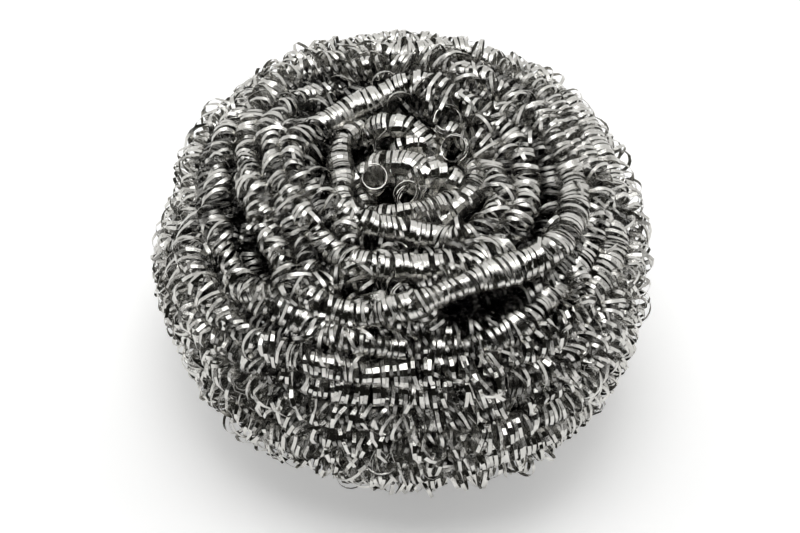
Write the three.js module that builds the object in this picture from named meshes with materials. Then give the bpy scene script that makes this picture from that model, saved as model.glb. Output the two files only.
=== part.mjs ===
// Stainless steel scourer: one long coiled steel strand wound round itself into a bun.
// The bundle is one closed solid. Its skin is the outermost turns of the strand, a rounded ridge that
// spirals from the middle of the top, out over the rim, down the side and in to the middle of the underside.
// Millimetres, +Z up. The bundle rests on Z = 0 and is centred on the Z axis; the front faces -Y.

import * as THREE from "three";

// Size of the bundle
const bundleDiameter = 89;
const bundleHeight = 50;
// 2 would be an ellipse from the side, higher values are flatter on top and fuller at the rim
const bunSquareness = 3;

// The wound strand: from one turn to the next, and how deep the valley between two turns is
const topSpacing = 7.6;
const sideSpacing = 5.8;
const undersideSpacing = 6.6;
const valleyShareOfSpacing = 0.4;
// The ridge's cross-section is an arc; this is how far it reaches each side of the crest, where 90 is a half circle
const ridgeArc = THREE.MathUtils.degToRad(75);
// The loops of the coil sit in bunches, so the ridge rises and falls along its length
const bunchRelief = 0.9;

// Hollows in the middle of the top and of the underside, where the winding closes
const topHollowDepth = 4.6;
const topHollowRadius = 9;
const topHollowOffset = 3.6;
const undersideHollowDepth = 3;
const undersideHollowRadius = 8;
// How far the underside is pressed flat by the bundle's own weight
const pressedFlat = 1.3;

// The plan isn't quite round: a share of the radius, how many lobes it makes, and where the first one is
const planLobes = [
  { lobes: 2, share: 0.022, phase: THREE.MathUtils.degToRad(-116) },
  { lobes: 3, share: 0.018, phase: THREE.MathUtils.degToRad(-143) },
  { lobes: 4, share: 0.012, phase: THREE.MathUtils.degToRad(-152) },
];
// The turns wander off an even spiral, as a share of the spacing between turns
const wanderWaves = [
  { size: 0.13, lobes: 1, rows: 6.1, phase: 2.65 },
  { size: 0.2, lobes: 2, rows: 7.3, phase: 0.4 },
  { size: 0.12, lobes: 3, rows: 5.1, phase: 2.1 },
  { size: 0.07, lobes: 5, rows: 9.2, phase: 4.4 },
];
// The skin is lumpy, in millimetres
const lumpWaves = [
  { size: 0.45, lobes: 3, rows: 6.2, phase: 1.1 },
  { size: 0.35, lobes: 5, rows: 4.3, phase: 3.3 },
  { size: 0.25, lobes: 8, rows: 3.4, phase: 5.2 },
];
// Rows over which the waves die out towards the two poles
const polarFade = 2.2;

// At the front of the top one strand swerves in, with a swing outwards either side of it, and stands proud over a
// deep gap to the next turn. Strands are numbered by the row that they cross bearing 0 on. Sideways lengths are
// shares of the spacing, upright ones are millimetres.
const frontFold = {
  strand: 3.85,
  bearing: THREE.MathUtils.degToRad(-62),
  pull: 0.5,
  pullWave: THREE.MathUtils.degToRad(112),
  pullReach: THREE.MathUtils.degToRad(82),
  pullHalfRows: 0.7,
  rise: 1.4,
  riseReach: THREE.MathUtils.degToRad(50),
  riseHalfRows: 0.4,
  gapDepth: 4.4,
  gapFromStrand: 0.7,
  gapHalfRows: 0.4,
};

// Fineness of the faces: strips across the ridge, and the fewest steps in one turn
const stripsPerRidge = 4;
const stepsRoundRim = 104;
const fewestSteps = 12;
const profileSteps = 720;
// Rows left between each end of the strand and the pole, and how many turns an end takes to rise
const poleRows = 0.35;
const endRise = 0.4;

const turn = 2 * Math.PI;
const halfWidth = bundleDiameter / 2;
const halfHeight = (bundleHeight + pressedFlat) / 2;
const floor = pressedFlat - halfHeight;

/** Radius and height on the bun's profile; the angle runs from 0 at the top pole to pi at the lower one. */
function profilePoint(angle) {
  const across = Math.abs(Math.sin(angle)) / halfWidth;
  const up = Math.abs(Math.cos(angle)) / halfHeight;
  const reach = (across ** bunSquareness + up ** bunSquareness) ** (-1 / bunSquareness);
  return { radius: reach * Math.sin(angle), height: reach * Math.cos(angle) };
}

/** Outward direction of the profile, as a radial and a vertical part. */
function profileNormal({ radius, height }) {
  const out = (radius / halfWidth) ** (bunSquareness - 1) / halfWidth;
  const up = ((Math.abs(height) / halfHeight) ** (bunSquareness - 1) / halfHeight) * Math.sign(height);
  const length = Math.hypot(out, up);
  return { out: out / length, up: up / length };
}

/** Distance from one turn of the strand to the next: wider on the two faces than on the side. */
function spacingAt(angle) {
  const intoSide = THREE.MathUtils.smoothstep(angle, Math.PI * 0.17, Math.PI * 0.36);
  const outOfSide = THREE.MathUtils.smoothstep(angle, Math.PI * 0.66, Math.PI * 0.83);
  const upper = THREE.MathUtils.lerp(topSpacing, sideSpacing, intoSide);
  return THREE.MathUtils.lerp(upper, undersideSpacing, outOfSide);
}

/** Angles down the profile against the row they are on, where a row is one spacing of the strand. */
function profileRows() {
  const angles = [0];
  const rows = [0];
  let last = profilePoint(0);
  for (let step = 1; step <= profileSteps; step += 1) {
    const angle = (Math.PI * step) / profileSteps;
    const point = profilePoint(angle);
    const length = Math.hypot(point.radius - last.radius, point.height - last.height);
    angles.push(angle);
    rows.push(rows[step - 1] + length / spacingAt(angle));
    last = point;
  }
  return { angles, rows };
}

const profile = profileRows();
const evenRows = profile.rows[profileSteps];
const turns = Math.round(evenRows - 1 - 2 * poleRows);
const lastRow = turns + 1 + 2 * poleRows;

/** Angle down the profile at a row counted from the top pole. */
function angleAtRow(row) {
  const wanted = (THREE.MathUtils.clamp(row, 0, lastRow) * evenRows) / lastRow;
  let low = 0;
  let high = profileSteps;
  while (high - low > 1) {
    const middle = (low + high) >> 1;
    if (profile.rows[middle] > wanted) {
      high = middle;
    } else {
      low = middle;
    }
  }
  const share = (wanted - profile.rows[low]) / (profile.rows[high] - profile.rows[low]);
  return THREE.MathUtils.lerp(profile.angles[low], profile.angles[high], share);
}

/** Sum of slow waves over the skin, dying out at the two poles. */
function waveSum(waves, bearing, row) {
  const nearTop = THREE.MathUtils.smoothstep(row, 0, polarFade);
  const nearBottom = THREE.MathUtils.smoothstep(lastRow - row, 0, polarFade);
  let sum = 0;
  for (const { size, lobes, rows, phase } of waves) {
    sum += size * Math.sin(lobes * bearing + (turn * row) / rows + phase);
  }
  return sum * nearTop * nearBottom;
}

/** A smooth bump, 1 in its middle and dying out over its reach. */
function bump(distance, reach) {
  return Math.exp(-((distance / reach) ** 2));
}

/** Angle of a place from the middle of the front fold, and how many rows it is from the fold's strand. */
function foldAt(bearing, row) {
  const away = THREE.MathUtils.euclideanModulo(bearing - frontFold.bearing + Math.PI, turn) - Math.PI;
  return { away, rows: row + (frontFold.bearing + away) / turn - frontFold.strand };
}

/** Rows by which the turns are off an even spiral. */
function wander(bearing, row) {
  const { away, rows } = foldAt(bearing, row);
  const swerve = frontFold.pull * Math.cos((turn * away) / frontFold.pullWave) * bump(away, frontFold.pullReach);
  return waveSum(wanderWaves, bearing, row) - swerve * bump(rows, frontFold.pullHalfRows);
}

/** How far the skin stands out beyond the even bun. */
function lump(bearing, row) {
  const { away, rows } = foldAt(bearing, row);
  const rise = frontFold.rise * bump(rows, frontFold.riseHalfRows);
  const gap = frontFold.gapDepth * bump(rows - frontFold.gapFromStrand, frontFold.gapHalfRows);
  return waveSum(lumpWaves, bearing, row) + (rise - gap) * bump(away, frontFold.riseReach);
}

/** Share by which the plan is wider or narrower at a bearing. */
function planShare(bearing) {
  return planLobes.reduce((sum, { lobes, share, phase }) => sum + share * Math.cos(lobes * bearing - phase), 0);
}

/** How far a hollow takes the skin inwards at a distance from its middle. */
function hollow(depth, hollowRadius, distance) {
  return depth * Math.exp(-((distance / hollowRadius) ** 2));
}

/** A point of the skin: bearing round the Z axis, row from the top pole, depth under the crests. */
function skinPoint(bearing, row, depth) {
  const place = profilePoint(angleAtRow(row + wander(bearing, row)));
  const normal = profileNormal(place);
  const lift = lump(bearing, row) - depth;
  const outline = 1 + (planShare(bearing) * place.radius) / halfWidth;
  const radius = (place.radius + normal.out * lift) * outline;
  const onTop = place.height > 0;
  const shift = onTop ? topHollowOffset * (1 - place.radius / halfWidth) : 0;
  const sunk = onTop
    ? -hollow(topHollowDepth, topHollowRadius, radius)
    : hollow(undersideHollowDepth, undersideHollowRadius, radius);
  const height = place.height + normal.up * lift + sunk;
  return [radius * Math.cos(bearing) + shift, radius * Math.sin(bearing), Math.max(height, floor)];
}

/** Depth of the ridge's cross-section under its crest, from 0 at one valley to 1 at the next. */
function ridgeDepth(across) {
  const sideways = Math.sin(ridgeArc) * (2 * across - 1);
  return (1 - Math.sqrt(1 - sideways ** 2)) / (1 - Math.cos(ridgeArc));
}

/** Point of the wound ridge: angle wound so far, place across the ridge, and whether it is a low step. */
function ridgePoint(wound, across, low) {
  const row = poleRows + wound / turn + across;
  const valley = valleyShareOfSpacing * spacingAt(angleAtRow(row));
  const fromEnd = Math.min(wound, turn * turns - wound) / turn;
  const risen = THREE.MathUtils.smoothstep(fromEnd, 0, endRise);
  const ridge = 1 - ridgeDepth(across);
  const relief = low ? bunchRelief * ridge : 0;
  return skinPoint(-wound, row, valley * (1 - ridge * risen) + relief * risen);
}

/** Angles at which the strand has a step, turn by turn; a wide turn has more of them. */
function windingSteps() {
  const steps = [];
  for (let count = 0; count < turns; count += 1) {
    const { radius } = profilePoint(angleAtRow(poleRows + count + 1));
    const inTurn = Math.max(fewestSteps, Math.round((stepsRoundRim * radius) / halfWidth));
    for (let step = 0; step < inTurn; step += 1) {
      steps.push(turn * (count + step / inTurn));
    }
  }
  steps.push(turn * turns);
  return steps;
}

/** The ridge's vertices, step by step and strip by strip, and the far edge of its last turn. */
function ridgeVertices(steps) {
  const points = [];
  const add = (point) => points.push(point) - 1;
  const strips = Array.from({ length: stripsPerRidge }, (_, strip) =>
    steps.map((wound, index) => add(ridgePoint(wound, strip / stripsPerRidge, index % 2 === 1))),
  );
  const farEdge = steps
    .filter((wound) => wound > turn * (turns - 1))
    .map((wound) => ({ wound, vertex: add(ridgePoint(wound, 1, false)) }));
  return { points, add, strips, farEdge };
}

/** Faces of the ridge itself, between one strip line and the next. */
function stripFaces(strips, faces) {
  for (let strip = 0; strip + 1 < strips.length; strip += 1) {
    const upper = strips[strip];
    const lower = strips[strip + 1];
    for (let step = 0; step + 1 < upper.length; step += 1) {
      faces.push([upper[step], upper[step + 1], lower[step + 1]]);
      faces.push([upper[step], lower[step + 1], lower[step]]);
    }
  }
}

/** Faces that close the strand's last strip line onto the first line of its next turn. */
function seamFaces(upper, lower, faces) {
  let above = 0;
  let below = 0;
  while (above + 1 < upper.length || below + 1 < lower.length) {
    const nextAbove = upper[above + 1]?.wound ?? Infinity;
    const nextBelow = lower[below + 1]?.wound ?? Infinity;
    if (nextAbove <= nextBelow) {
      faces.push([upper[above].vertex, upper[above + 1].vertex, lower[below].vertex]);
      above += 1;
    } else {
      faces.push([upper[above].vertex, lower[below + 1].vertex, lower[below].vertex]);
      below += 1;
    }
  }
}

/** Faces from a pole to the line round it, in the order that makes them face outwards. */
function poleFaces(pole, line, faces) {
  for (let step = 0; step + 1 < line.length; step += 1) {
    faces.push([pole, line[step], line[step + 1]]);
  }
}

/** The whole skin as vertices and outward triangles. */
function bundleSkin() {
  const steps = windingSteps();
  const { points, add, strips, farEdge } = ridgeVertices(steps);
  const faces = [];
  stripFaces(strips, faces);

  const firstLine = steps.map((wound, index) => ({ wound: wound - turn, vertex: strips[0][index] }));
  const lastLine = steps.map((wound, index) => ({ wound, vertex: strips[stripsPerRidge - 1][index] }));
  const tail = [{ wound: turn * (turns - 1), vertex: strips[0].at(-1) }, ...farEdge];
  const nextTurn = [...firstLine.filter(({ wound }) => wound >= 0), ...tail.slice(1)];
  seamFaces(lastLine, nextTurn, faces);

  const startLine = firstLine.filter(({ wound }) => wound <= 0).map(({ vertex }) => vertex);
  const startEnd = strips.map((line) => line[0]);
  const topPole = add(skinPoint(0, 0, valleyShareOfSpacing * topSpacing));
  poleFaces(topPole, [...startEnd, ...startLine.reverse()], faces);

  const finishEnd = strips.map((line) => line.at(-1)).reverse();
  const lowerPole = add(skinPoint(0, lastRow, valleyShareOfSpacing * undersideSpacing));
  poleFaces(lowerPole, [...tail.map(({ vertex }) => vertex), ...finishEnd], faces);
  return { points, faces };
}

/** The skin moved to stand on Z = 0, centred on the Z axis. */
function bundleGeometry() {
  const { points, faces } = bundleSkin();
  const geometry = new THREE.BufferGeometry();
  geometry.setAttribute("position", new THREE.Float32BufferAttribute(points.flat(), 3));
  geometry.setIndex(faces.flat());
  geometry.computeBoundingBox();
  const middle = geometry.boundingBox.getCenter(new THREE.Vector3());
  geometry.translate(-middle.x, -middle.y, -geometry.boundingBox.min.z);
  geometry.computeVertexNormals();
  return geometry;
}

const steel = new THREE.MeshStandardMaterial({ color: 0xb4b2ad, metalness: 1, roughness: 0.28, flatShading: true });
steel.name = "steel";

const bundle = new THREE.Mesh(bundleGeometry(), steel);
bundle.name = "coil_bundle";

const scourer = new THREE.Group();
scourer.name = "scourer";
scourer.add(bundle);

export default scourer;
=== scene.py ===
"""Stainless steel scourer: one flat steel wire, coiled into small loops and wound into a bun.

The wire is built as it is made: a flat ribbon coils round a strand, and the strand winds over the bun from
the middle of the top, out over the rim and in to the middle of the underside, in several layers. Lengths are
in millimetres until a mesh is made, which is in metres.
"""

import math

import bpy
import numpy as np
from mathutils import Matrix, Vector


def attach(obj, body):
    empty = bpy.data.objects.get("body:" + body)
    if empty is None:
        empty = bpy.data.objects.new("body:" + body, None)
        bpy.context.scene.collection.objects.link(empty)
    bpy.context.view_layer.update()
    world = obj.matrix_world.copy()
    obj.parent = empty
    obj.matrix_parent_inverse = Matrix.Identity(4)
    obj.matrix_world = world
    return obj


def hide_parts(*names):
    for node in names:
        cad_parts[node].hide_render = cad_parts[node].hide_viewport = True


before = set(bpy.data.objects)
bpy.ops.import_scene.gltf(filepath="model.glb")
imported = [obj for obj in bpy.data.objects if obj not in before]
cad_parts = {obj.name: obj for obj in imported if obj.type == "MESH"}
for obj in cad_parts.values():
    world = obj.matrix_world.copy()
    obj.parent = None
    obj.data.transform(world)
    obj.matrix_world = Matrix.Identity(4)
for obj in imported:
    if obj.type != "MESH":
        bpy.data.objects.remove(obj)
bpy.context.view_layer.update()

MM = 0.001
TURN = 2 * math.pi

# The bun, as the part's source has it
BUNDLE_DIAMETER = 89.0
BUNDLE_HEIGHT = 50.0
BUN_SQUARENESS = 3.0
TOP_SPACING = 7.6
SIDE_SPACING = 5.8
UNDERSIDE_SPACING = 6.6
TOP_HOLLOW = {"depth": 4.6, "radius": 9.0, "offset": 3.6}
UNDERSIDE_HOLLOW = {"depth": 3.0, "radius": 8.0}
PRESSED_FLAT = 1.3
PLAN_LOBES = [(2, 0.022, -116), (3, 0.018, -143), (4, 0.012, -152)]  # lobes, share of the radius, degrees
WANDER_WAVES = [(0.13, 1, 6.1, 2.65), (0.2, 2, 7.3, 0.4), (0.12, 3, 5.1, 2.1), (0.07, 5, 9.2, 4.4)]
LUMP_WAVES = [(0.45, 3, 6.2, 1.1), (0.35, 5, 4.3, 3.3), (0.25, 8, 3.4, 5.2)]  # size, lobes, rows, phase
POLAR_FADE = 2.2
FRONT_FOLD = {
    "strand": 3.85,
    "bearing": math.radians(-62),
    "pull": 0.5,
    "pull_wave": math.radians(112),
    "pull_reach": math.radians(82),
    "pull_half_rows": 0.7,
    "rise": 1.4,
    "rise_reach": math.radians(50),
    "rise_half_rows": 0.4,
    "gap_depth": 4.4,
    "gap_from_strand": 0.7,
    "gap_half_rows": 0.4,
}
POLE_ROWS = 0.35
PROFILE_STEPS = 720

HALF_WIDTH = BUNDLE_DIAMETER / 2
HALF_HEIGHT = (BUNDLE_HEIGHT + PRESSED_FLAT) / 2
FLOOR = PRESSED_FLAT - HALF_HEIGHT

# The wire
COIL_RADIUS = 2.45
WIRE_WIDTH = 0.64
WIRE_THICKNESS = 0.05
LOOP_SEGMENTS = 15
ROUND_WIRE = 60  # degrees of bend past which a crease shows
CREASED_WIRE = 14
PRESSED_LAYER = 1.2  # height over the floor under which the wire is pressed together

# The loops come in bunches: the steps between them are in pitches, and a bunch has 1 to 4 loops more
STEP_IN_BUNCH = (0.75, 1.0)
STEP_TO_NEXT_BUNCH = (1.4, 2.2)
TIGHT_BUNCH = (2, 5)
LOOSE_BUNCH = (1, 4)

# How far the loops stray: in slow drifts (size, period in millimetres), and by the loop and the bunch
TIGHTNESS_PERIOD = 14.0
DRIFTS = {
    "size": (0.07, 9.0),
    "squash": (0.08, 6.0),
    "lean": (0.28, 6.0),
    "start": (0.9, 12.0),
    "roll": (np.radians(10.0), 2.5),
}
SPREADS = {
    "size": (0.09, 0.09),
    "bead_size": (0.0, 0.04),
    "squash": (0.10, 0.0),
    "lean": (0.22, 0.14),
    "roll": (np.radians(15.0), 0.0),
}
LOOSE_SHARE = (0.28, 1.1)
SIZE_LIMITS = (0.7, 1.25)
LEAN_LIMIT = 0.6
TIGHT_ROLL = 0.4

# Inner layers: name, rows of offset, depth, segments of a loop, tight and loose pitch
INNER_LAYERS = [
    ("winding_second", 1.0, 2.6, 11, 1.0, 1.5),
    ("winding_third", 0.5, 5.4, 9, 1.1, 1.6),
    ("winding_fourth", 1.0, 8.4, 8, 1.4, 2.0),
]

# Core: flat layers of turns round the axis, from low to high
CORE_LAYERS = 7
CORE_STEPS = 160
CORE_RADIUS = (1.5, 13.5)
CORE_HEIGHT = (5.0, 37.0)
CORE_TURNS = 2.4

# Strands that close the middle of the top: points, then the radius of the coil
ROSETTE = [
    ([(-6.5, 12.5, 41), (-3.4, 12.1, 44.6), (-0.8, 11.5, 45.4), (1.8, 10.4, 45.6), (4.0, 8.1, 44.6),
      (5, 5.5, 42)], 2.3),
    ([(-0.5, 7.8, 42.5), (1.4, 7.6, 44.2), (4.2, 7.3, 44.4), (7.2, 6.4, 42.5)], 2.2),
    ([(-5.0, 4.5, 42), (-2.8, 3.4, 44.3), (1.3, 2.9, 44.8), (5.0, 1.2, 44)], 2.3),
    ([(1.8, -0.6, 43), (3.6, 0.0, 44.8), (7.4, 0.4, 44.8), (10.5, -1, 43)], 2.2),
    ([(-3.0, 10, 40.5), (-2.2, 9.1, 43), (-1.5, 8.0, 45.2)], 2.1),
    ([(-5.0, 2.2, 40), (-4.6, 0.6, 42.8), (-4.5, -0.6, 45.2)], 2.2),
    ([(2.2, -1.5, 40), (1.6, -3, 42.8), (1.0, -4.1, 45)], 2.1),
    ([(7, 16, 40.5), (8.0, 14.3, 43), (8.4, 13.1, 45.7)], 2.3),
    ([(10.5, 9, 40.5), (9.8, 7.3, 43), (9.5, 6, 45.7)], 2.3),
    ([(15.5, 9, 40.8), (14.4, 7.2, 43.4), (14, 5.8, 46)], 2.5),
    ([(-7, -7, 40), (-3, -8.5, 43.5), (2, -8.6, 44.2), (7, -6, 43.8), (10.5, -3, 42)], 2.4),
    ([(-6.5, 14, 41.5), (-9.7, 9.9, 43.4), (-10.6, 5.4, 43.4), (-10.1, 0.8, 43.4), (-10.1, -4.1, 43),
      (-8, -8, 41.5)], 2.4),
    ([(11.6, 6, 41.5), (13.4, 2.8, 43.2), (13, -1.4, 43.4), (10.8, -4.6, 42.8), (7, -7.5, 41.5)], 2.3),
    ([(-6, 3.2, 41.5), (-1.5, 2.2, 42.4), (3, 0.2, 42.2), (6, -1.5, 41)], 2.2),
    ([(-12, 3, 38), (-3, 6, 40.5), (4, 4.5, 41), (9, -2, 40), (3, -6, 39.5), (-5, -5, 39), (-6, 3, 38)], 2.5),
]
ROSETTE_LIFT = np.array([0.0, -1.4, 1.6])
NEAR_UPRIGHT = (0.05, -0.1, 1.0)

# Strays over the turns
STRAY_STRANDS = 64
STRAY_LOOPS = 260
STRAY_SEGMENTS = 14

# Steel and light
STEEL_DARKER = (0.54, 0.531, 0.503)
STEEL_LIGHTER = (0.70, 0.69, 0.66)
STEEL_ROUGHNESS = (0.04, 0.13)
STREAK_DEPTH = 0.00008  # metres
STREAK_LANES = (0.35, 5.0, 1.0)
FLOOR_TONES = ((0.90, 0.90, 0.90), (0.93, 0.93, 0.93))
FLOOR_GLOW = 0.35
FLOOR_HALF_SIDE = 3.0
TENT_PALE = (0.90, 0.90, 0.89)
TENT_DARK = (0.012, 0.012, 0.010)
DARK_SIDE = (0.0, -0.94, 0.34)
HALO_STRENGTH = 2.2


# Camera

def make_camera():
    """The photograph's view: from the front, about 50 degrees above the horizon, with a long lens."""
    elevation = math.radians(49.5)
    distance = 0.455
    aim = Vector((0.0, -0.0003, 0.0211))
    data = bpy.data.cameras.new("photo_camera")
    data.lens = 112.8
    data.sensor_width = 36.0
    data.clip_start, data.clip_end = 0.01, 20.0
    camera = bpy.data.objects.new("photo_camera", data)
    bpy.context.collection.objects.link(camera)
    back = Vector((0.0, -math.cos(elevation), math.sin(elevation)))
    camera.location = aim + back * distance
    camera.rotation_mode = "QUATERNION"
    camera.rotation_quaternion = (-back).to_track_quat("-Z", "Y")
    bpy.context.scene.camera = camera


# The bun's skin

def smoothstep(x, low, high):
    t = np.clip((x - low) / (high - low), 0.0, 1.0)
    return t * t * (3 - 2 * t)


def profile_point(angle):
    """Radius and height on the bun's profile, for angles from 0 at the top pole to pi at the lower one."""
    across = np.abs(np.sin(angle)) / HALF_WIDTH
    up = np.abs(np.cos(angle)) / HALF_HEIGHT
    reach = (across**BUN_SQUARENESS + up**BUN_SQUARENESS) ** (-1 / BUN_SQUARENESS)
    return reach * np.sin(angle), reach * np.cos(angle)


def spacing_at(angle):
    """Distance from one turn of the strand to the next: wider on the two faces than on the side."""
    upper = TOP_SPACING + (SIDE_SPACING - TOP_SPACING) * smoothstep(angle, math.pi * 0.17, math.pi * 0.36)
    return upper + (UNDERSIDE_SPACING - upper) * smoothstep(angle, math.pi * 0.66, math.pi * 0.83)


PROFILE_ANGLES = np.linspace(0.0, math.pi, PROFILE_STEPS + 1)
_radius, _height = profile_point(PROFILE_ANGLES)
PROFILE_ROWS = np.concatenate(
    [[0.0], np.cumsum(np.hypot(np.diff(_radius), np.diff(_height)) / spacing_at(PROFILE_ANGLES[1:]))]
)
TURNS = round(PROFILE_ROWS[-1] - 1 - 2 * POLE_ROWS)
LAST_ROW = TURNS + 1 + 2 * POLE_ROWS


def wave_sum(waves, bearing, row):
    """Sum of slow waves over the skin, dying out at the two poles."""
    total = sum(
        size * np.sin(lobes * bearing + TURN * row / rows + phase) for size, lobes, rows, phase in waves
    )
    return total * smoothstep(row, 0, POLAR_FADE) * smoothstep(LAST_ROW - row, 0, POLAR_FADE)


def bump(distance, half_width):
    """A smooth bump, 1 in its middle and dying out over its half width."""
    return np.exp(-((distance / half_width) ** 2))


def fold_at(bearing, row):
    """Angle of a place from the middle of the front fold, and how many rows it is from the fold's strand."""
    away = (bearing - FRONT_FOLD["bearing"] + math.pi) % TURN - math.pi
    return away, row + (FRONT_FOLD["bearing"] + away) / TURN - FRONT_FOLD["strand"]


def wander(bearing, row):
    """Rows by which the turns are off an even spiral."""
    away, rows = fold_at(bearing, row)
    swerve = np.cos(TURN * away / FRONT_FOLD["pull_wave"])
    sideways = FRONT_FOLD["pull"] * swerve * bump(away, FRONT_FOLD["pull_reach"])
    return wave_sum(WANDER_WAVES, bearing, row) - sideways * bump(rows, FRONT_FOLD["pull_half_rows"])


def lump(bearing, row, gap_open=True):
    """How far the skin stands out beyond the even bun; inner turns lie across the fold's gap."""
    if not gap_open:
        return wave_sum(LUMP_WAVES, bearing, row)
    away, rows = fold_at(bearing, row)
    rise = FRONT_FOLD["rise"] * bump(rows, FRONT_FOLD["rise_half_rows"])
    gap = FRONT_FOLD["gap_depth"] * bump(rows - FRONT_FOLD["gap_from_strand"], FRONT_FOLD["gap_half_rows"])
    return wave_sum(LUMP_WAVES, bearing, row) + (rise - gap) * bump(away, FRONT_FOLD["rise_reach"])


def skin_point(bearing, row, depth, gap_open=True):
    """Points of the skin: bearing round the Z axis, row from the top pole, depth under the crests."""
    wanted = np.clip(row + wander(bearing, row), 0, LAST_ROW) * PROFILE_ROWS[-1] / LAST_ROW
    place_r, place_z = profile_point(np.interp(wanted, PROFILE_ROWS, PROFILE_ANGLES))
    out = (place_r / HALF_WIDTH) ** (BUN_SQUARENESS - 1) / HALF_WIDTH
    up = (np.abs(place_z) / HALF_HEIGHT) ** (BUN_SQUARENESS - 1) / HALF_HEIGHT * np.sign(place_z)
    length = np.hypot(out, up)
    lift = lump(bearing, row, gap_open) - depth
    share = sum(size * np.cos(lobes * bearing - math.radians(phase)) for lobes, size, phase in PLAN_LOBES)
    radius = (place_r + out / length * lift) * (1 + share * place_r / HALF_WIDTH)
    on_top = place_z > 0
    shift = np.where(on_top, TOP_HOLLOW["offset"] * (1 - place_r / HALF_WIDTH), 0.0)
    top = -TOP_HOLLOW["depth"] * np.exp(-((radius / TOP_HOLLOW["radius"]) ** 2))
    under = UNDERSIDE_HOLLOW["depth"] * np.exp(-((radius / UNDERSIDE_HOLLOW["radius"]) ** 2))
    height = place_z + up / length * lift + np.where(on_top, top, under)
    return np.stack([radius * np.cos(bearing) + shift, radius * np.sin(bearing), height], axis=-1)


def frame_shift():
    """How far the skin is moved so that it is centred on the Z axis and stands on the floor."""
    wound = np.linspace(0, TURN * TURNS, 6000)
    crest = skin_point(-wound, POLE_ROWS + wound / TURN + 0.5, 0.0)
    middle = (crest.min(axis=0) + crest.max(axis=0)) / 2
    return np.array([-middle[0], -middle[1], -FLOOR])


SHIFT = frame_shift()


# The coiled wire

def slow_noise(length, period, rng):
    """Smooth noise of about unit size along a length, as a function of the place along it."""
    knots = np.arange(-2, length / period + 3)
    values = rng.normal(0.0, 1.0, len(knots))

    def at(place):
        x = np.clip(place / period, knots[0], knots[-1] - 1e-6)
        low = np.floor(x).astype(int)
        t = x - low
        t = t * t * (3 - 2 * t)
        index = low - int(knots[0])
        return values[index] * (1 - t) + values[index + 1] * t

    return at


def unit(v):
    return v / np.linalg.norm(v, axis=-1, keepdims=True)


def loop_places(length, tightness, rng, tight_pitch, loose_pitch):
    """Where along the strand each loop starts, in bunches of close loops, and the number of its bunch."""
    places = [0.0]
    bunches = [0]
    in_bunch = 0
    while places[-1] < length:
        tight = tightness(np.array(places[-1])) > 0
        pitch = tight_pitch if tight else loose_pitch
        if in_bunch > 0:
            step = pitch * rng.uniform(*STEP_IN_BUNCH)
            in_bunch -= 1
        else:
            step = pitch * rng.uniform(*STEP_TO_NEXT_BUNCH)
            in_bunch = int(rng.integers(*(TIGHT_BUNCH if tight else LOOSE_BUNCH)))
        places.append(places[-1] + step)
        bunches.append(bunches[-1] + (in_bunch == 0))
    return np.array(places), np.array(bunches)


def coil_wire(
    path, normal, rng, *, radius, tight_pitch, loose_pitch,
    segments=LOOP_SEGMENTS, looseness=0.0, disorder=1.0, bead_lean=0.13, kink=0.05
):
    """Centre points, width directions and outward directions of a flat wire coiled round a strand's path."""
    step = np.linalg.norm(np.diff(path, axis=0), axis=1)
    along = np.concatenate([[0.0], np.cumsum(step)])
    length = along[-1]
    tightness_noise = slow_noise(length, TIGHTNESS_PERIOD, rng)
    looseness = np.broadcast_to(looseness, along.shape)

    def tightness(at):
        return tightness_noise(at) - np.interp(at, along, looseness)

    starts, bunches = loop_places(length, tightness, rng, tight_pitch, loose_pitch)
    loops = len(starts) - 1
    turn_no = np.arange(loops * segments + 1) / segments
    place = np.clip(np.interp(turn_no, np.arange(loops + 1), starts), 0, length)

    def on_path(values):
        return np.stack([np.interp(place, along, values[:, k]) for k in range(3)], axis=-1)

    centre = on_path(path)
    tangent = unit(on_path(np.gradient(path, along, axis=0)))
    out = on_path(normal)
    out = unit(out - tangent * np.sum(out * tangent, axis=-1, keepdims=True))
    side = np.cross(tangent, out)

    loop_index = np.minimum(turn_no.astype(int), loops - 1)
    blend = turn_no - loop_index
    blend = blend * blend * (3 - 2 * blend)

    def drift(kind):
        size, period = DRIFTS[kind]
        return size * slow_noise(length, period, rng)(place)

    def per_loop(spread, by_bunch):
        values = rng.normal(0.0, spread, loops + 1) + rng.normal(0.0, by_bunch, loops + 1)[bunches]
        return values[loop_index] * (1 - blend) + values[loop_index + 1] * blend

    def lean():
        strayed = loose * (drift("lean") + per_loop(*SPREADS["lean"])) + per_loop(0.0, bead_lean)
        return np.clip(strayed, -LEAN_LIMIT, LEAN_LIMIT)

    loose = np.clip(0.55 - 0.6 * tightness(place), *LOOSE_SHARE) * disorder
    strayed_size = drift("size") + loose * per_loop(*SPREADS["size"]) + per_loop(*SPREADS["bead_size"])
    size = radius * np.clip(1 + strayed_size, *SIZE_LIMITS)
    squash = 1 + drift("squash") + loose * per_loop(*SPREADS["squash"])
    lean_out = lean()
    lean_side = lean()
    angle = TURN * turn_no + drift("start")
    reach_out = np.cos(angle) * size * squash + loose * rng.normal(0.0, kink, len(turn_no))
    reach_side = np.sin(angle) * size / squash
    slip = reach_out * lean_out + reach_side * lean_side
    points = centre + out * reach_out[:, None] + side * reach_side[:, None] + tangent * slip[:, None]

    run = unit(np.gradient(points, axis=0))
    away = unit(points - centre - tangent * slip[:, None])
    across = unit(np.cross(run, away))
    face = np.cross(across, run)
    roll = (TIGHT_ROLL + loose) * (drift("roll") + per_loop(*SPREADS["roll"]))
    width = across * np.cos(roll)[:, None] + face * np.sin(roll)[:, None]
    face = face * np.cos(roll)[:, None] - across * np.sin(roll)[:, None]
    return points, width, face


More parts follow.
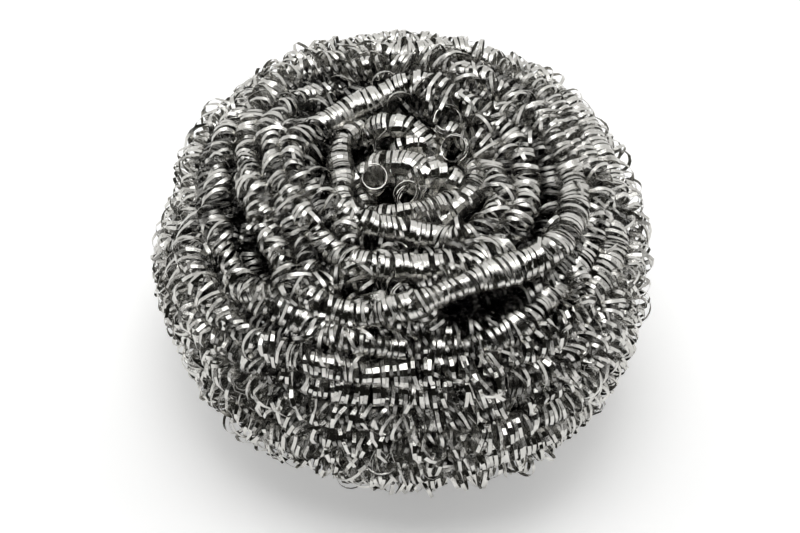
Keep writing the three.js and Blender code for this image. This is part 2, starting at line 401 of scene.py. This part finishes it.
def press_on_floor(points):
    """Keeps points above the floor: what would be lower is pressed together just over it."""
    low = points[:, 2] < PRESSED_LAYER
    points[low, 2] = PRESSED_LAYER * np.exp(points[low, 2] / PRESSED_LAYER - 1)
    return points


class Ribbon:
    """Collects lengths of flat wire and makes one mesh of them."""

    def __init__(self):
        self.vertices = []
        self.faces = []
        self.places = []
        self.ends = []
        self.count = 0

    def add(self, points, width, face, full=True):
        """Adds a closed length of wire: a flat box, or with full off a flat face with a low ridge inside."""
        half = width * WIRE_WIDTH / 2
        outer = face * WIRE_THICKNESS / 2
        if full:
            corners = [points - half + outer, points + half + outer]
            corners += [points + half - outer, points - half - outer]
        else:
            corners = [points - half + outer, points + half + outer, points - outer]
        sides = len(corners)
        steps = len(points)
        grid = np.stack(corners, axis=1).reshape(-1, 3)
        self.vertices.append(press_on_floor(grid))
        run = np.concatenate([[0.0], np.cumsum(np.linalg.norm(np.diff(points, axis=0), axis=1))])
        across = [0.0, 1.0, 1.0, 0.0] if full else [0.0, 1.0, 0.5]
        self.places.append(np.stack([np.repeat(run, sides), np.tile(across, steps)], axis=-1))
        base = self.count + np.arange(steps - 1)[:, None] * sides
        for k in range(sides):
            n = (k + 1) % sides
            quads = np.stack([base + k, base + sides + k, base + sides + n, base + n], axis=-1)
            self.faces.append(quads.reshape(-1, 4))
        self.ends.append((self.count, self.count + (steps - 1) * sides, sides))
        self.count += steps * sides

    def build(self, name, material, crease=ROUND_WIRE):
        """One object with crisp wire edges, and creases where the wire bends by more than so many degrees."""
        vertices = np.concatenate(self.vertices) * MM
        quads = np.concatenate(self.faces)
        loops = quads.reshape(-1)
        sizes = np.full(len(quads), 4)
        for first, last, sides in self.ends:
            start = first + np.arange(sides)
            finish = last + np.arange(sides)[::-1]
            loops = np.concatenate([loops, start, finish])
            sizes = np.concatenate([sizes, [sides, sides]])
        mesh = bpy.data.meshes.new(name)
        mesh.vertices.add(len(vertices))
        mesh.vertices.foreach_set("co", vertices.astype(np.float32).reshape(-1))
        mesh.loops.add(len(loops))
        mesh.loops.foreach_set("vertex_index", loops.astype(np.int32))
        mesh.polygons.add(len(sizes))
        mesh.polygons.foreach_set("loop_start", np.concatenate([[0], np.cumsum(sizes)[:-1]]).astype(np.int32))
        mesh.update(calc_edges=True)
        mesh.polygons.foreach_set("use_smooth", np.ones(len(sizes), dtype=bool))
        places = np.concatenate(self.places)[loops]
        mesh.uv_layers.new(name="along_wire").data.foreach_set("uv", places.astype(np.float32).reshape(-1))
        mesh.validate()
        mesh.set_sharp_from_angle(angle=math.radians(crease))
        mesh.materials.append(material)
        obj = bpy.data.objects.new(name, mesh)
        bpy.context.collection.objects.link(obj)
        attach(obj, "root")
        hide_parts("coil_bundle")


# Layers of the winding

def winding(first_turn, last_turn, row_offset, depth, rng, *, sway=0.7, heave=0.6, gap_open=True):
    """Path of the strand over some turns of the bun, at a depth under the crests, with its outward normal."""
    steps = int((last_turn - first_turn) * 150)
    wound = np.linspace(first_turn, last_turn, steps) * TURN
    row = POLE_ROWS + wound / TURN + row_offset
    length = steps * 1.2
    place = np.linspace(0, length, steps)
    sway_rows = sway * slow_noise(length, 13.0, rng)(place) / SIDE_SPACING
    sink = depth + heave * slow_noise(length, 9.0, rng)(place)
    path = skin_point(-wound, row + sway_rows, sink, gap_open)
    deeper = skin_point(-wound, row + sway_rows, sink + 1.0, gap_open)
    return path + SHIFT, unit(path - deeper)


def looseness_at(path, first_turn, last_turn):
    """How loose the coils are: tight in the top's middle and on the fold, open on the left and behind."""
    x, y, z = path.T
    wound = np.linspace(first_turn, last_turn, len(path)) * TURN
    away, rows = fold_at(-wound, POLE_ROWS + wound / TURN + 0.5)
    on_fold = bump(rows, 0.4) * bump(away, math.radians(50))
    middle = np.exp(-(x**2 + y**2) / 20.0**2) * smoothstep(z, 36, 42)
    low = smoothstep(-z, -42, -30)
    open_places = 1.6 * smoothstep(-x, 8, 30) + 0.6 * smoothstep(y, 5, 30) + 0.6 * low
    return 0.25 + open_places - 1.0 * middle - 1.8 * on_fold


def make_outer_windings(steel, rng):
    """The layer that shows, in zones from the top to the underside."""
    zones = [  # name, first and last turn, how far it is sunk, disorder, kink, crease
        ("winding_top", 0.8, 5.0, 0.0, 1.0, 0.05, ROUND_WIRE),
        ("winding_rim", 5.0, 9.0, 0.4, 1.1, 0.10, CREASED_WIRE),
        ("winding_side", 9.0, 13.0, 0.4, 1.15, 0.12, CREASED_WIRE),
        ("winding_under", 13.0, TURNS, 0.3, 1.1, 0.12, CREASED_WIRE),
    ]
    for name, first, last, sunk, disorder, kink, crease in zones:
        ribbon = Ribbon()
        path, normal = winding(
            first, last, 0.5, COIL_RADIUS + sunk, rng, sway=0.7 * disorder, heave=0.6 * disorder
        )
        wire = coil_wire(
            path, normal, rng, radius=COIL_RADIUS, tight_pitch=0.74, loose_pitch=1.15,
            looseness=looseness_at(path, first, last), disorder=disorder, kink=kink
        )
        ribbon.add(*wire)
        ribbon.build(name, steel, crease)


def make_inner_windings(steels, rng):
    """The layers underneath, which show through the gaps and lie across the fold's gap, in steel darkened as
    painted shade.
    """
    for (name, offset, depth, segments, tight, loose), steel in zip(INNER_LAYERS, steels):
        ribbon = Ribbon()
        path, normal = winding(
            0.3, TURNS - 0.8, offset, COIL_RADIUS + depth, rng, sway=0.9, heave=0.8, gap_open=False
        )
        wire = coil_wire(
            path, normal, rng, radius=COIL_RADIUS, segments=segments, tight_pitch=tight, loose_pitch=loose,
            disorder=1.3
        )
        ribbon.add(*wire, full=False)
        ribbon.build(name, steel)


def make_core(steel):
    """The strand's first turns, wound to and fro in flat layers round the bun's middle."""
    rng = np.random.default_rng(31)
    place = np.linspace(0, CORE_LAYERS, CORE_LAYERS * CORE_STEPS)
    out = 1 - np.abs(place % 2 - 1)
    radius = CORE_RADIUS[0] + (CORE_RADIUS[1] - CORE_RADIUS[0]) * out
    bearing = TURN * CORE_TURNS * place
    height = CORE_HEIGHT[0] + (CORE_HEIGHT[1] - CORE_HEIGHT[0]) * place / CORE_LAYERS
    path = np.stack([radius * np.cos(bearing), radius * np.sin(bearing), height], axis=-1)
    normal = np.tile(NEAR_UPRIGHT, (len(path), 1))
    wire = coil_wire(
        path, normal, rng, radius=3.0, segments=8, tight_pitch=1.6, loose_pitch=2.0, disorder=1.2
    )
    ribbon = Ribbon()
    ribbon.add(*wire, full=False)
    ribbon.build("winding_core", steel)


def smooth_path(points, step):
    """A smooth curve through given points, sampled about every step."""
    points = np.array(points, float)
    ends = np.vstack([2 * points[0] - points[1], points, 2 * points[-1] - points[-2]])
    parts = []
    for a, b, c, d in zip(ends, ends[1:], ends[2:], ends[3:]):
        t = np.linspace(0, 1, max(2, int(np.linalg.norm(c - b) / step)), endpoint=False)[:, None]
        bend = (2 * a - 5 * b + 4 * c - d) * t**2 + (3 * b - a - 3 * c + d) * t**3
        parts.append(0.5 * (2 * b + (c - a) * t + bend))
    return np.vstack([*parts, points[-1:]])


def make_rosette(steel):
    """The strands that close the middle of the top, some lying across it, some ending open."""
    rng = np.random.default_rng(11)
    ribbon = Ribbon()
    for points, radius in ROSETTE:
        path = smooth_path(points, 0.5) + ROSETTE_LIFT
        normal = np.tile(NEAR_UPRIGHT, (len(path), 1))
        wire = coil_wire(
            path, normal, rng, radius=radius, tight_pitch=0.62, loose_pitch=0.9, looseness=-1.5,
            disorder=0.9, bead_lean=0.07
        )
        ribbon.add(*wire)
    ribbon.build("winding_rosette", steel, CREASED_WIRE)


def stray_strand(rng):
    """A pulled length of the strand that lies askew over the turns."""
    row = rng.uniform(2.8, LAST_ROW - 2.5)
    bearing = rng.uniform(0, TURN)
    girth = max(6.0, np.hypot(*skin_point(bearing, row, 0.0)[:2]))
    reach = rng.uniform(9.0, 26.0)
    share = np.linspace(-0.5, 0.5, int(reach / 0.6))
    rows = row + share * rng.uniform(-2.4, 2.4)
    bearings = bearing - share * reach / girth
    depth = rng.uniform(1.3, 2.4) + 2.2 * (2 * share) ** 4
    path = skin_point(bearings, rows, depth)
    normal = unit(path - skin_point(bearings, rows, depth + 1.0))
    return coil_wire(
        path + SHIFT, normal, rng, radius=rng.uniform(2.0, 2.7), segments=STRAY_SEGMENTS, tight_pitch=1.0,
        loose_pitch=rng.uniform(1.2, 1.9), looseness=1.2
    )


def stray_loop(rng):
    """A single open loop of wire that stands proud of the turns."""
    row = rng.uniform(1.9, LAST_ROW - 1.5)
    bearing = rng.uniform(0, TURN)
    foot = skin_point(bearing, row, rng.uniform(1.6, 3.0)) + SHIFT
    out = unit(foot - skin_point(bearing, row, 5.0) - SHIFT)
    lie = rng.normal(0, 1, 3)
    lie = unit(lie - out * np.dot(lie, out))
    lean = unit(out + lie * rng.uniform(-0.5, 0.5))
    over = np.cross(out, lie)
    angle = np.linspace(-2.3, 2.3, STRAY_SEGMENTS)[:, None]
    size = rng.uniform(2.2, 3.2)
    advance = np.linspace(-1.0, 1.0, STRAY_SEGMENTS)[:, None] * rng.uniform(0.2, 1.2)
    points = foot + (lean * np.cos(angle) + over * np.sin(angle)) * size + lie * advance
    run = unit(np.gradient(points, axis=0))
    away = unit(lean * np.cos(angle) + over * np.sin(angle))
    width = unit(np.cross(run, away))
    return points, width, np.cross(width, run)


def make_strays(steel):
    """Lengths of the strand and single loops that have come loose."""
    rng = np.random.default_rng(23)
    ribbon = Ribbon()
    for _ in range(STRAY_STRANDS):
        ribbon.add(*stray_strand(rng))
    for _ in range(STRAY_LOOPS):
        ribbon.add(*stray_loop(rng))
    ribbon.build("stray_loops", steel)


# Materials

def add_noise(nodes, links, vector, scale, detail=2.0, roughness=0.5):
    noise = nodes.new("ShaderNodeTexNoise")
    noise.inputs["Scale"].default_value = scale
    noise.inputs["Detail"].default_value = detail
    noise.inputs["Roughness"].default_value = roughness
    links.new(vector, noise.inputs["Vector"])
    return noise.outputs["Fac"]


def add_ramp(nodes, links, value, first, last):
    """A colour ramp between two stops, each a position and a colour."""
    ramp = nodes.new("ShaderNodeValToRGB")
    for stop, (position, colour) in zip(ramp.color_ramp.elements, (first, last)):
        stop.position = position
        stop.color = (*colour, 1)
    links.new(value, ramp.inputs["Fac"])
    return ramp.outputs["Color"]


def steel_material(name, painted_shade_scale):
    """Bright rolled steel: fine streaks along the wire in roughness and bump, and slight colour changes. A
    painted shade scale under 1 darkens the colour, as painted shade for the inner layers and the core.
    """
    material = bpy.data.materials.new(name)
    material.use_nodes = True
    nodes, links = material.node_tree.nodes, material.node_tree.links
    shader = nodes["Principled BSDF"]
    shader.inputs["Metallic"].default_value = 1.0
    coords = nodes.new("ShaderNodeTexCoord")
    patches = add_noise(nodes, links, coords.outputs["Object"], 240.0, detail=3.0)
    # Painted shade: the colour is scaled down for the inner layers and the core, in place of the shade
    # between the wires.
    darker = [value * painted_shade_scale for value in STEEL_DARKER]
    lighter = [value * painted_shade_scale for value in STEEL_LIGHTER]
    tone = add_ramp(nodes, links, patches, (0.3, darker), (0.7, lighter))
    links.new(tone, shader.inputs["Base Color"])
    lanes = nodes.new("ShaderNodeMapping")
    lanes.inputs["Scale"].default_value = STREAK_LANES
    links.new(coords.outputs["UV"], lanes.inputs["Vector"])
    streaks = add_noise(nodes, links, lanes.outputs["Vector"], 1.6, detail=3.0, roughness=0.7)
    rough = nodes.new("ShaderNodeMapRange")
    rough.inputs["From Min"].default_value = 0.3
    rough.inputs["From Max"].default_value = 0.7
    rough.inputs["To Min"].default_value = STEEL_ROUGHNESS[0]
    rough.inputs["To Max"].default_value = STEEL_ROUGHNESS[1]
    links.new(streaks, rough.inputs["Value"])
    links.new(rough.outputs["Result"], shader.inputs["Roughness"])
    bump_map = nodes.new("ShaderNodeBump")
    bump_map.inputs["Strength"].default_value = 0.5
    bump_map.inputs["Distance"].default_value = STREAK_DEPTH
    links.new(streaks, bump_map.inputs["Height"])
    links.new(bump_map.outputs["Normal"], shader.inputs["Normal"])
    return material


def floor_material():
    """Matt white, with a plain glow for the camera and for what the metal mirrors, so that it shows white."""
    material = bpy.data.materials.new("pale_floor")
    material.use_nodes = True
    nodes, links = material.node_tree.nodes, material.node_tree.links
    shader = nodes["Principled BSDF"]
    shader.inputs["Roughness"].default_value = 0.9
    coords = nodes.new("ShaderNodeTexCoord")
    mottle = add_noise(nodes, links, coords.outputs["Object"], 3.0)
    tone = add_ramp(nodes, links, mottle, (0.0, FLOOR_TONES[0]), (1.0, FLOOR_TONES[1]))
    links.new(tone, shader.inputs["Base Color"])
    glow = nodes.new("ShaderNodeEmission")
    glow.inputs["Color"].default_value = (1, 1, 1, 1)
    path = nodes.new("ShaderNodeLightPath")
    seen = nodes.new("ShaderNodeMath")
    seen.operation = "MAXIMUM"
    links.new(path.outputs["Is Camera Ray"], seen.inputs[0])
    links.new(path.outputs["Is Glossy Ray"], seen.inputs[1])
    strength = nodes.new("ShaderNodeMath")
    strength.operation = "MULTIPLY"
    strength.inputs[1].default_value = FLOOR_GLOW
    links.new(seen.outputs["Value"], strength.inputs[0])
    links.new(strength.outputs["Value"], glow.inputs["Strength"])
    both = nodes.new("ShaderNodeAddShader")
    links.new(shader.outputs["BSDF"], both.inputs[0])
    links.new(glow.outputs["Emission"], both.inputs[1])
    links.new(both.outputs["Shader"], nodes["Material Output"].inputs["Surface"])
    return material


# Stage and light

def make_floor():
    half = FLOOR_HALF_SIDE
    mesh = bpy.data.meshes.new("floor")
    corners = [(-half, -half, 0), (half, -half, 0), (half, half, 0), (-half, half, 0)]
    mesh.from_pydata(corners, [], [(0, 1, 2, 3)])
    mesh.materials.append(floor_material())
    floor = bpy.data.objects.new("floor", mesh)
    bpy.context.collection.objects.link(floor)


def make_softbox(name, location, size, radiance):
    """A square area light that faces the object, of a given brightness."""
    data = bpy.data.lights.new(name, "AREA")
    data.shape = "RECTANGLE"
    data.size, data.size_y = size
    data.energy = radiance * math.pi * size[0] * size[1]
    lamp = bpy.data.objects.new(name, data)
    bpy.context.collection.objects.link(lamp)
    lamp.location = location
    lamp.rotation_mode = "QUATERNION"
    lamp.rotation_quaternion = (Vector((0, 0, 0.025)) - Vector(location)).to_track_quat("-Z", "Y")
    lamp.visible_camera = False


def make_world():
    """A pale tent all round, darker on the side that the camera stands on; the camera itself sees white."""
    world = bpy.data.worlds.new("studio")
    bpy.context.scene.world = world
    world.use_nodes = True
    nodes, links = world.node_tree.nodes, world.node_tree.links
    nodes.clear()
    coords = nodes.new("ShaderNodeTexCoord")
    facing = nodes.new("ShaderNodeVectorMath")
    facing.operation = "DOT_PRODUCT"
    facing.inputs[1].default_value = DARK_SIDE
    links.new(coords.outputs["Generated"], facing.inputs[0])
    clutter = add_noise(nodes, links, coords.outputs["Generated"], 4.0)
    uneven = nodes.new("ShaderNodeMath")
    uneven.operation = "MULTIPLY_ADD"
    uneven.inputs[1].default_value = -0.5
    links.new(clutter, uneven.inputs[0])
    links.new(facing.outputs["Value"], uneven.inputs[2])
    cover = add_ramp(nodes, links, uneven.outputs["Value"], (0.01, TENT_PALE), (0.15, TENT_DARK))
    tent = nodes.new("ShaderNodeBackground")
    links.new(cover, tent.inputs["Color"])
    height = nodes.new("ShaderNodeSeparateXYZ")
    links.new(coords.outputs["Generated"], height.inputs["Vector"])
    halo = nodes.new("ShaderNodeMapRange")
    halo.interpolation_type = "SMOOTHSTEP"
    halo.inputs["From Min"].default_value = 0.82
    halo.inputs["From Max"].default_value = 0.98
    halo.inputs["To Min"].default_value = 1.0
    halo.inputs["To Max"].default_value = HALO_STRENGTH
    links.new(height.outputs["Z"], halo.inputs["Value"])
    links.new(halo.outputs["Result"], tent.inputs["Strength"])
    white = nodes.new("ShaderNodeBackground")
    white.inputs["Color"].default_value = (1, 1, 1, 1)
    path = nodes.new("ShaderNodeLightPath")
    mix = nodes.new("ShaderNodeMixShader")
    links.new(path.outputs["Is Camera Ray"], mix.inputs["Fac"])
    links.new(tent.outputs["Background"], mix.inputs[1])
    links.new(white.outputs["Background"], mix.inputs[2])
    out = nodes.new("ShaderNodeOutputWorld")
    links.new(mix.outputs["Shader"], out.inputs["Surface"])


make_camera()
steel = steel_material("bright_steel", 1.0)
# Painted shade: the inner layers get steel darkened to 40, 24 and 12 % of the outer steel's colour, and the
# core 12 %, in place of the shade that the wires between them, which are not modelled, would cast.
deepest_painted_shade_steel = steel_material("deepest_painted_shade_steel", 0.12)
inner_painted_shade_steels = [steel_material("light_painted_shade_steel", 0.4), steel_material("mid_painted_shade_steel", 0.24), deepest_painted_shade_steel]
winding_rng = np.random.default_rng(7)
make_outer_windings(steel, winding_rng)
make_inner_windings(inner_painted_shade_steels, winding_rng)
make_core(deepest_painted_shade_steel)
make_rosette(steel)
make_strays(steel)
make_floor()
make_softbox("overhead_softbox", (0.0, -0.02, 0.52), (0.26, 0.26), 3.4)
make_world()
bpy.context.scene.view_settings.view_transform = "Standard"
